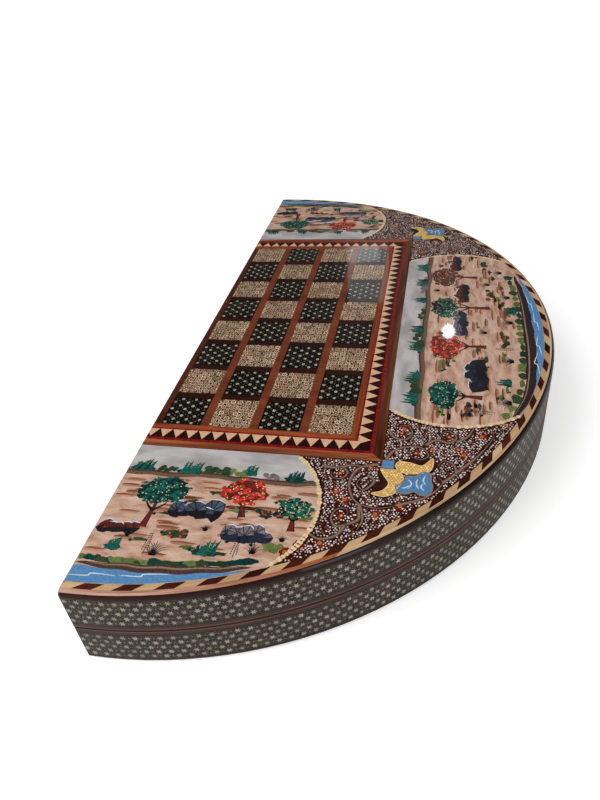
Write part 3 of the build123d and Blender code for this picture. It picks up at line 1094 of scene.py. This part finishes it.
def streaks(place, limits, rand, count):
    # short brown washes, green patches and small tufts lying on the sand
    for index in range(count):
        s = rand.uniform(limits["left"], limits["right"])
        t = rand.uniform(borderFoot(s) + sandBand["overBorder"], sandBand["top"])
        long = rand.uniform(4.0, 8.5)
        wash = [(s - long, t - 0.7), (s, t - 0.4), (s + long * 0.8, t - 0.8)]
        stroke("brownPale", wash, 2.2, place, 0.03, "pointed", 4, rand.random())
        wash = [(s - long, t), (s - long * 0.2, t + 0.35), (s + long, t)]
        stroke("brown", wash, 1.25, place, 0.035, "pointed", 4, rand.random())
        if index % 3 == 0:
            dab(rand.choice(("green", "greenDark")), s + 3, t - 2.6, rand.uniform(3.0, 5.5),
                rand.uniform(0.9, 1.6), (13, 0.25), place, 0.032, rand)
            tuft(place, s + rand.uniform(-6, 6), t - 4.5, rand, rand.uniform(2.2, 3.2), 7,
                 rand.choice(("tealDark", "greenDark")))


def shore(place, left, right, wide, bank, rand):
    # stream along the border with its dark bank, widest in the middle of the picture
    steps = 46
    middle = 0.0 if left < 0 else left
    reach = right - middle
    lower = []
    upper = []
    for index in range(steps + 1):
        s = left + (right - left) * index / steps
        share = max(0.0, 1 - (abs(s - middle) / reach) ** 1.6)
        lower.append((s, borderFoot(s) + borderGap))
        upper.append((s, borderFoot(s) + 0.3 + wide * share + 0.35 * math.sin(s * 0.31)))
    lay("water", list(zip(lower, lower[1:], upper[1:], upper)), place, 0.04)
    colour, deep = bank
    lay(colour, strokeFaces([(s, t + deep * 0.35) for s, t in upper], deep), place, 0.042, 0.2)
    stroke("vinePale", [(s, t + deep * 0.52) for s, t in upper[3:-3:5]], 1.0, place, 0.046)
    for index, (s, t) in enumerate(upper[1:-1:2]):
        dab(rand.choice(("greenDark", "green", "tealDark")), s, t + deep + 0.6, rand.uniform(3.0, 5.5),
            deep * rand.uniform(0.25, 0.5), (11, 0.25), place, 0.034 + 0.0003 * index, rand)
    for share in (0.12, 0.42) if left >= 0 else (-0.6, -0.32, 0.08, 0.42):
        s = middle + reach * share
        t = borderFoot(s) + wide * 0.45
        tip = (s + 14, borderFoot(s + 14) + wide * 0.5)
        ripple = [(s - 12, t - 0.6), (s - 1, t), (s + 1.2, t + 1.6), tip]
        stroke("foam", ripple, 0.7, place, 0.044, "pointed", 6)


def landscape(panel, plan, seed):
    rand = random.Random(seed)
    limits = panels[panel]
    place = panelPlace(panel)
    left = limits["left"]
    step = (limits["right"] - left) / 16
    ridge = [(left + step * index, plan["horizon"] + rand.uniform(-1.2, 1.0)) for index in range(17)]
    stroke("vine", [(s, t - 1.6) for s, t in ridge], 3.2, place, 0.026, "even", 5, 0.4)
    stroke("bank", ridge, 1.3, place, 0.028, "even", 5, 0.2)
    streaks(place, limits, rand, plan["streaks"])
    shore(place, left, plan["streamEnd"], plan["streamWidth"], plan["bank"], rand)
    for s, t in plan["conifers"]:
        conifers(place, s, t, rand, rand.choice((3, 4, 5)))
    motifs = {"bushes": bush, "rocks": rocks, "trees": broadTree, "tufts": tuft, "reeds": reed}
    for key, motif in motifs.items():
        for s, t, *rest in plan[key]:
            motif(place, s, t, rand, *rest)


# Where the motifs of the panels stand: s and t, then their size and paints
endPlan = {
    "horizon": 77.5,
    "streaks": 52,
    "streamEnd": 90.0,
    "streamWidth": 9.5,
    "bank": ("bank", 4.6),
    "conifers": [(9, 78), (38, 78), (73, 80), (99, 78), (15, 22), (64, 24)],
    "bushes": [
        (54, 79, 7, "greenDark", None),
        (66, 79, 6, "green", None),
        (24, 78, 5, "greenDark", None),
        (87, 78, 5, "mauve", None),
        (44, 33, 6.5, "greenDark", "red"),
        (97, 30, 6, "green", None),
        (91, 52, 6, "tealDark", "red"),
    ],
    "rocks": [
        (51, 46, 12, "slate", "ink"),
        (13, 32, 9, "redBrown", "ink"),
        (82, 34, 11, "mauve", "slateDark"),
    ],
    "trees": [
        (26, 38, 25, 15, "teal", "tealDark", "cream"),
        (76, 50, 17, 13, "red", "redBrown", "goldPale"),
        (104, 44, 14, 9, "teal", "ink", "goldPale"),
    ],
    "tufts": [(38, 20, 10), (20, 30, 4.5), (60, 38, 4.5), (101, 36, 4.5), (88, 27, 7)],
    "reeds": [(79, 24), (33, 21)],
}
sidePlan = {
    "horizon": 82.5,
    "streaks": 104,
    "streamEnd": 76.0,
    "streamWidth": 7.5,
    "bank": ("bankDark", 7.0),
    "conifers": [
        (-88, 83), (-66, 83), (-30, 83), (-8, 83), (34, 83), (62, 83), (88, 83), (-68, 26), (20, 18),
    ],
    "bushes": [
        (-76, 82, 8, "greenDark", None),
        (-22, 82, 9, "greenDark", None),
        (14, 82, 6, "greenDark", None),
        (52, 82, 6, "mauve", None),
        (-96, 50, 6, "tealDark", "red"),
        (-20, 25, 7, "greenDark", "red"),
        (44, 32, 7, "greenDark", "red"),
        (92, 36, 7, "greenDark", None),
    ],
    "rocks": [
        (-60, 40, 14, "slateDark", "ink"),
        (2, 52, 14, "mauve", "slateDark"),
        (46, 50, 11, "redBrown", "ink"),
        (96, 56, 10, "redBrown", "slateDark"),
    ],
    "trees": [
        (-84, 44, 22, 14, "teal", "tealDark", "cream"),
        (-28, 40, 26, 16, "red", "redBrown", "goldPale"),
        (24, 36, 32, 14, "teal", "ink", "goldPale"),
        (72, 44, 24, 15, "redBrown", "bank", "cream"),
    ],
    "tufts": [
        (-88, 26, 10), (-44, 22, 10), (4, 20, 10), (40, 20, 9), (80, 24, 9), (-10, 38, 7), (60, 34, 7),
        (-70, 62, 6), (22, 70, 6), (50, 72, 6), (-40, 70, 6), (92, 70, 6), (-12, 68, 6),
    ],
    "reeds": [(-30, 20), (70, 24), (-98, 36)],
}
landscape("near", endPlan, 4)
landscape("far", endPlan, 9)
landscape("side", sidePlan, 21)
paintOut("painting")

# Corner ornament: scrolled vines, a gold leaf and a blue cloud among flowers and fine dots
print("corner ornament")
corner = {
    "vines": [
        [(143, -148), (133, -152), (129, -162), (131, -172), (136, -178), (146, -180), (155, -177)],
        [(138, -157), (142, -160), (141, -164), (137, -168), (133, -164), (135, -159)],
        [
            (136, -180), (137, -188), (132, -192), (126, -194), (123, -189), (125, -183), (130, -182),
            (131, -186),
        ],
        [(112, -152), (118, -153), (123, -152), (127, -156), (124, -161), (119, -160), (118, -156)],
        [(123, -152), (130, -150), (137, -151)],
        [(147, -144), (150, -137), (156, -133), (165, -132), (170, -138), (166, -142), (160, -140)],
        [(146, -118), (150, -125), (157, -126), (160, -120), (157, -114), (152, -115)],
        [(168, -130), (174, -125), (181, -127), (185, -122), (181, -117), (176, -120), (179, -124)],
        [(185, -126), (191, -121), (194, -115), (195, -111)],
        [(155, -177), (161, -174.5), (168, -171), (174, -165.5), (178, -158.5), (175, -154)],
        [(131, -192), (127, -200), (119, -203), (113, -199), (115, -193), (120, -194)],
        [(178, -158.5), (184.5, -151), (183.5, -144), (178, -142), (175, -147)],
        [(184.5, -151), (190, -144.5), (196, -137), (201, -129), (206, -119)],
        [(136, -178), (139, -188), (137, -195)],
    ],
    "vineWidth": 2.3,
    "flowers": [
        (145, -184), (123, -171), (120, -205.5), (155, -117), (189, -136), (172, -133), (110, -208),
        (212, -108), (199, -120), (157, -177.5), (128, -176), (104, -213),
    ],
    "eyes": [(163, -137), (139, -151), (186, -132), (154, -121), (128, -187), (123, -157), (181, -122)],
    "goldLobes": [
        [
            (144.5, -151.5), (150, -151), (155.5, -153), (157.5, -160), (154, -168), (148, -171.5),
            (141.5, -170), (147, -167.5), (150, -162), (147, -156.5),
        ],
        [
            (152.5, -148), (154, -145), (160, -145), (166, -147), (169, -145), (172.5, -140.5),
            (172.5, -147), (170, -151.5), (162, -153.5), (155, -152.5),
        ],
    ],
    "cloud": [
        (157.5, -159.5), (159.5, -155.5), (164, -155), (167, -151.8), (171.5, -152.5), (172, -157.5),
        (173, -163), (171, -168), (166.5, -168.5), (163.5, -166.5), (159.5, -168.5), (155, -167.5),
        (153.8, -163.5), (156.5, -161.5),
    ],
    "cloudStrokes": [
        [(160, -158), (162, -161), (160, -165)],
        [(165, -157), (164.5, -161), (166, -164.5)],
        [(169, -154), (168, -158), (169.5, -161)],
        [(157, -164.5), (159, -164), (161, -162)],
        [(169, -165.5), (167, -163), (168, -160)],
    ],
    "square": (148.4, -147.6, 3.1),
    "dotRadius": 0.54,
    "dotGap": 1.6,
    "dotStray": 0.38,
    "dotMargin": 0.15,
    "dotShare": 0.95,
    "dotsFrom": 97,
    "dotsOver": 125,
    "redEvery": 7,
    "lobeDotRadius": 0.52,
    "lobeDotGap": 1.55,
}
# Places kept free of dots: x, y and radius round the cloud and the small square
keptFree = [(165, -160, 6.5), (158, -165, 3.5), (148.4, -147.6, 4.0)]
cornerSides = (lambda x, y: (x, -y), lambda x, y: (x, y))


def inCorner(x, y, margin):
    # near corner: between the frame, the border and the two bows
    if math.hypot(x, y) > board["borderInner"] - margin:
        return False
    if x < board["frameX"] + margin and y > -board["frameY"] - margin:
        return False
    for panel, (middleX, middleY) in bowMiddles.items():
        if math.hypot(x - middleX, y - middleY) < panels[panel]["reach"] + margin + 0.9:
            return False
    return x > panels["near"]["corner"] and y < -panels["side"]["corner"]


def insideDots(loop, gap):
    # rows of dots well inside a closed outline
    inside = []
    left, low = map(min, zip(*loop))
    right, high = map(max, zip(*loop))
    for row in range(int((high - low) / (gap * 0.87)) + 1):
        for column in range(int((right - left) / gap) + 1):
            x = left + (column + row % 2 / 2) * gap
            y = low + row * gap * 0.87
            crossed = False
            for (ax, ay), (bx, by) in zip(loop, [*loop[1:], loop[0]]):
                if (ay > y) != (by > y) and x < ax + (y - ay) * (bx - ax) / (by - ay):
                    crossed = not crossed
            if crossed and all(math.hypot(x - a, y - b) > 0.75 for a, b in loop):
                inside.append((x, y))
    return inside


cornerRand = random.Random(31)
taken = []
lobeDots = []
for points in corner["vines"]:
    for place in cornerSides:
        stroke("vine", points, corner["vineWidth"], place, 0.05, "tail")
        stroke("vinePale", points, corner["vineWidth"] * 0.36, place, 0.054, "tail")
    taken += [(x, y, corner["vineWidth"] * 0.5) for x, y in smoothPath(points, 5)]
for x, y in corner["flowers"]:
    for place in cornerSides:
        for petal in range(6):
            petalX = x + 2.0 * math.cos(petal * math.pi / 3)
            petalY = y + 2.0 * math.sin(petal * math.pi / 3)
            tone = 0.25 * (petal % 3)
            dab("crimson", petalX, petalY, 1.25, 1.25, (8, 0.12), place, 0.03, cornerRand, tone)
        dab("gold", x, y, 1.15, 1.15, (8, 0.05), place, 0.06, cornerRand, 0.0)
        dab("green", x, y, 0.6, 0.6, (6, 0.05), place, 0.063, cornerRand, 0.5)
    taken.append((x, y, 1.4))
for x, y in corner["eyes"]:
    for place in cornerSides:
        dab("crimson", x, y, 1.7, 1.7, (9, 0.1), place, 0.056, cornerRand, 0.5)
        dab("gold", x, y, 0.8, 0.8, (7, 0.05), place, 0.062, cornerRand, 0.5)
    taken.append((x, y, 1.4))
for points in corner["goldLobes"]:
    closed = smoothPath([*points, points[0]], 4)[:-1]
    for place in cornerSides:
        lay("gold", [closed], place, 0.066, 0.6)
        lay("goldPale", strokeFaces([*closed, closed[0]], 0.6, "even"), place, 0.07)
    taken += [(x, y, 0.8) for x, y in closed]
    middle = [sum(values) / len(closed) for values in zip(*closed)]
    taken += [((x + middle[0]) / 2, (y + middle[1]) / 2, 3.6) for x, y in closed[::3]]
    lobeDots += insideDots(closed, corner["lobeDotGap"])
closed = smoothPath([*corner["cloud"], corner["cloud"][0]], 4)[:-1]
for place in cornerSides:
    lay("water", [closed], place, 0.072, 0.3)
    lay("vinePale", strokeFaces([*closed, closed[0]], 0.8, "even"), place, 0.076)
    for points in corner["cloudStrokes"]:
        stroke("foam", points, 0.75, place, 0.08)
    x, y, reach = corner["square"]
    for colour, size, lift in (("vine", reach * 1.15, 0.082), ("water", reach, 0.086)):
        square = [(x - size, y - size), (x + size, y - size), (x + size, y + size), (x - size, y + size)]
        lay(colour, [square], place, lift)
taken += [(x, y, 0.9) for x, y in closed] + keptFree
paintOut("ornament")

dots = []
gap = corner["dotGap"]
for row in range(int(corner["dotsOver"] / (gap * math.sqrt(3) / 2))):
    for column in range(int(corner["dotsOver"] / gap)):
        strayX = cornerRand.uniform(-corner["dotStray"], corner["dotStray"])
        strayY = cornerRand.uniform(-corner["dotStray"], corner["dotStray"])
        x = corner["dotsFrom"] + (column + row % 2 / 2) * gap + strayX
        y = -corner["dotsFrom"] - row * (gap * math.sqrt(3) / 2) + strayY
        clear = all((x - a) ** 2 + (y - b) ** 2 > (r + corner["dotMargin"]) ** 2 for a, b, r in taken)
        if clear and inCorner(x, y, corner["dotRadius"] + 0.1) and cornerRand.random() < corner["dotShare"]:
            dots.append((x, y))
print("dots", len(dots))
dotWhite = inlayFinish("ornamentDot", (222, 206, 200), 0.1, 900, toneShare=0.3)
dotRed = inlayFinish("ornamentRedDot", (158, 74, 52), 0.2, 900, toneShare=0.4)
for half in halves:
    for title, material, red in (("corner_dots", dotWhite, False), ("corner_red_dots", dotRed, True)):
        spots = [
            onFace(half, x, side * y, 0.045, 0, cornerRand.uniform(0.6, 1.15))
            for number, (x, y) in enumerate(dots)
            for side in (1, -1)
            if (number % corner["redEvery"] == 0) == red
        ]
        setShapes(half, title, spots, "disc", material, corner["dotRadius"], {"Corners": 7, "Seed": 41})
    spots = [onFace(half, x, side * y, 0.074) for x, y in lobeDots for side in (1, -1)]
    setShapes(half, "lobe_dots", spots, "disc", brushPaint["goldPale"], corner["lobeDotRadius"],
              {"Corners": 7, "Size Drift": 0.2, "Seed": 42})

# Gold scalloped line along the bows of the panels
bowGold = inlayFinish("bowGold", (228, 200, 158), 0.15, 600, toneShare=0.15)
scallop = {"pitch": 2.3, "radius": 1.35, "inset": 0.75, "lift": 0.09}
for half in halves:
    spots = []
    for panel, (middleX, middleY) in bowMiddles.items():
        reach = panels[panel]["reach"] - scallop["inset"]
        count = round(2 * math.pi * reach / scallop["pitch"])
        for side in (1, -1):
            for number in range(count):
                angle = 2 * math.pi * number / count
                x = middleX + reach * math.cos(angle)
                y = side * middleY + reach * math.sin(angle)
                inside = math.hypot(x, y) < board["borderInner"] - scallop["radius"] * 0.7
                if panel == "near":
                    keep = x > panels["near"]["corner"] - 2 and abs(y) > board["frameY"] + 1
                else:
                    keep = abs(y) > panels["side"]["corner"] - 2 and x > board["frameX"] + 1
                if inside and keep:
                    spots.append(onFace(half, x, y, scallop["lift"]))
    setShapes(half, "bow_scallops", spots, "disc", bowGold, scallop["radius"],
              {"Corners": 9, "Size Drift": 0.25, "Seed": 43})

# Screws of the hinge leaves: shallow heads, each with a flat dark bar across its top as painted shade for
# the slot
print("screws")
screws = {
    "places": ((9.0, -18.0), (5.6, 0.0), (9.0, 18.0)),
    "hingeMiddle": 150.0,
    "leafInset": 0.2,
    "sunk": 0.02,
    "radius": 2.5,
    "crownShare": 0.8,
    "rise": 0.14,
    "slotShare": 0.26,
}
# painted shade: the slot is a flat dark bar on the head, not a groove
slotShade = inlayFinish("screwSlot", (38, 26, 16), 0.2, 900, gloss=0.2)
screwRand = random.Random(7)
for half in halves:
    up = 1 if half == "base" else -1
    heads = []
    slots = []
    for hinge in (-1, 1):
        for x, y in screws["places"]:
            angle = screwRand.uniform(0, math.pi)
            for spots, lift in ((heads, -screws["sunk"]), (slots, screws["rise"])):
                height = closedHeight / 2 + up * (lift - screws["leafInset"]) * mm
                place = (spineX + x * mm, (hinge * screws["hingeMiddle"] + y) * mm, height)
                spots.append((place, (0, 0, up), (math.cos(angle), math.sin(angle), 0), 1.0))
    values = {"Inner Share": screws["crownShare"], "Rise": screws["rise"] * mm, "Corners": 20}
    setShapes(half, "screw_heads", heads, "head", brass, screws["radius"],
              {**values, "Size Drift": 0.0})
    setShapes(half, "screw_slots", slots, "bar", slotShade, screws["radius"] * screws["crownShare"],
              {"Inner Share": screws["slotShare"], "Size Drift": 0.0})

# Floor, lamps and world
floorReach = 6.0
floorMesh = bpy.data.meshes.new("studioFloor")
floorMesh.from_pydata(
    [(x * floorReach, y * floorReach, 0) for x, y in ((-1, -1), (1, -1), (1, 1), (-1, 1))],
    [],
    [(0, 1, 2, 3)],
)
floor = bpy.data.objects.new("studioFloor", floorMesh)
floor.location.z = -0.0002
bpy.context.collection.objects.link(floor)
floorPaint, floorSurface = startMaterial("floorPaint", {
    "Roughness": 0.8,
    "Specular IOR Level": 0.1,
    "Base Color": (0.8, 0.8, 0.8, 1),
    "Emission Color": (1, 1, 1, 1),
})
x, y, z = splitPlace()
glow = spread(lengthOf(x, y), 0.5, 1.0, 0.3, 0.9)
seenStraight = addNode("ShaderNodeLightPath").outputs["Is Camera Ray"]
joined(times(seenStraight, glow), floorSurface.inputs["Emission Strength"])
floorMesh.materials.append(floorPaint)

# Soft boxes light the face; the small panes only show as reflections in the lacquer
# Each lamp: place, aim, size, power
lamps = {
    "key": ((-0.9, -0.7, 1.5), (0, 0, 0.03), (1.2, 1.2), 23.0),
    "fill": ((1.1, -1.0, 1.1), (0, 0, 0.03), (1.2, 1.2), 10.5),
    "pane": ((-0.145, 1.1, 0.594), (-0.012, 0.075, 0.057), (0.107, 0.15), 0.06),
    "gleam": ((-0.16, 1.159, 0.564), (-0.019, 0.115, 0.057), (0.075, 0.04), 0.017),
    "bulb": ((0.065, 0.978, 0.685), (0.055, -0.009, 0.057), (0.03, 0.034), 0.07),
}
for name, (place, aim, size, power) in lamps.items():
    light = bpy.data.lights.new(name, "AREA")
    light.shape = "ELLIPSE" if name == "bulb" else "RECTANGLE"
    light.size, light.size_y = size
    light.energy = power
    holder = bpy.data.objects.new(name, light)
    holder.location = place
    holder.rotation_euler = (Vector(aim) - Vector(place)).to_track_quat("-Z", "Y").to_euler()
    bpy.context.collection.objects.link(holder)

# Pale round the horizon and dim overhead, so the lacquer reads deep; white to the camera
worldGlow = {"horizon": 0.7, "overhead": 0.16, "from": 0.1, "to": 0.45, "glossyDim": 0.8}
world = bpy.data.worlds.new("studio")
bpy.context.scene.world = world
world.use_nodes = True
atHand["tree"] = world.node_tree
background = world.node_tree.nodes["Background"]
lookUp = splitPlace(addNode("ShaderNodeTexCoord").outputs["Generated"])[2]
glow = spread(lookUp, worldGlow["horizon"], worldGlow["overhead"], worldGlow["from"], worldGlow["to"])
path = addNode("ShaderNodeLightPath").outputs
plain = minus(1.0, path["Is Camera Ray"])
mirrored = minus(1.0, times(path["Is Glossy Ray"], worldGlow["glossyDim"]))
strength = plus(times(times(glow, plain), mirrored), path["Is Camera Ray"])
joined(strength, background.inputs["Strength"])
background.inputs["Color"].default_value = (1, 1, 1, 1)
bpy.context.scene.view_settings.view_transform = "Standard"
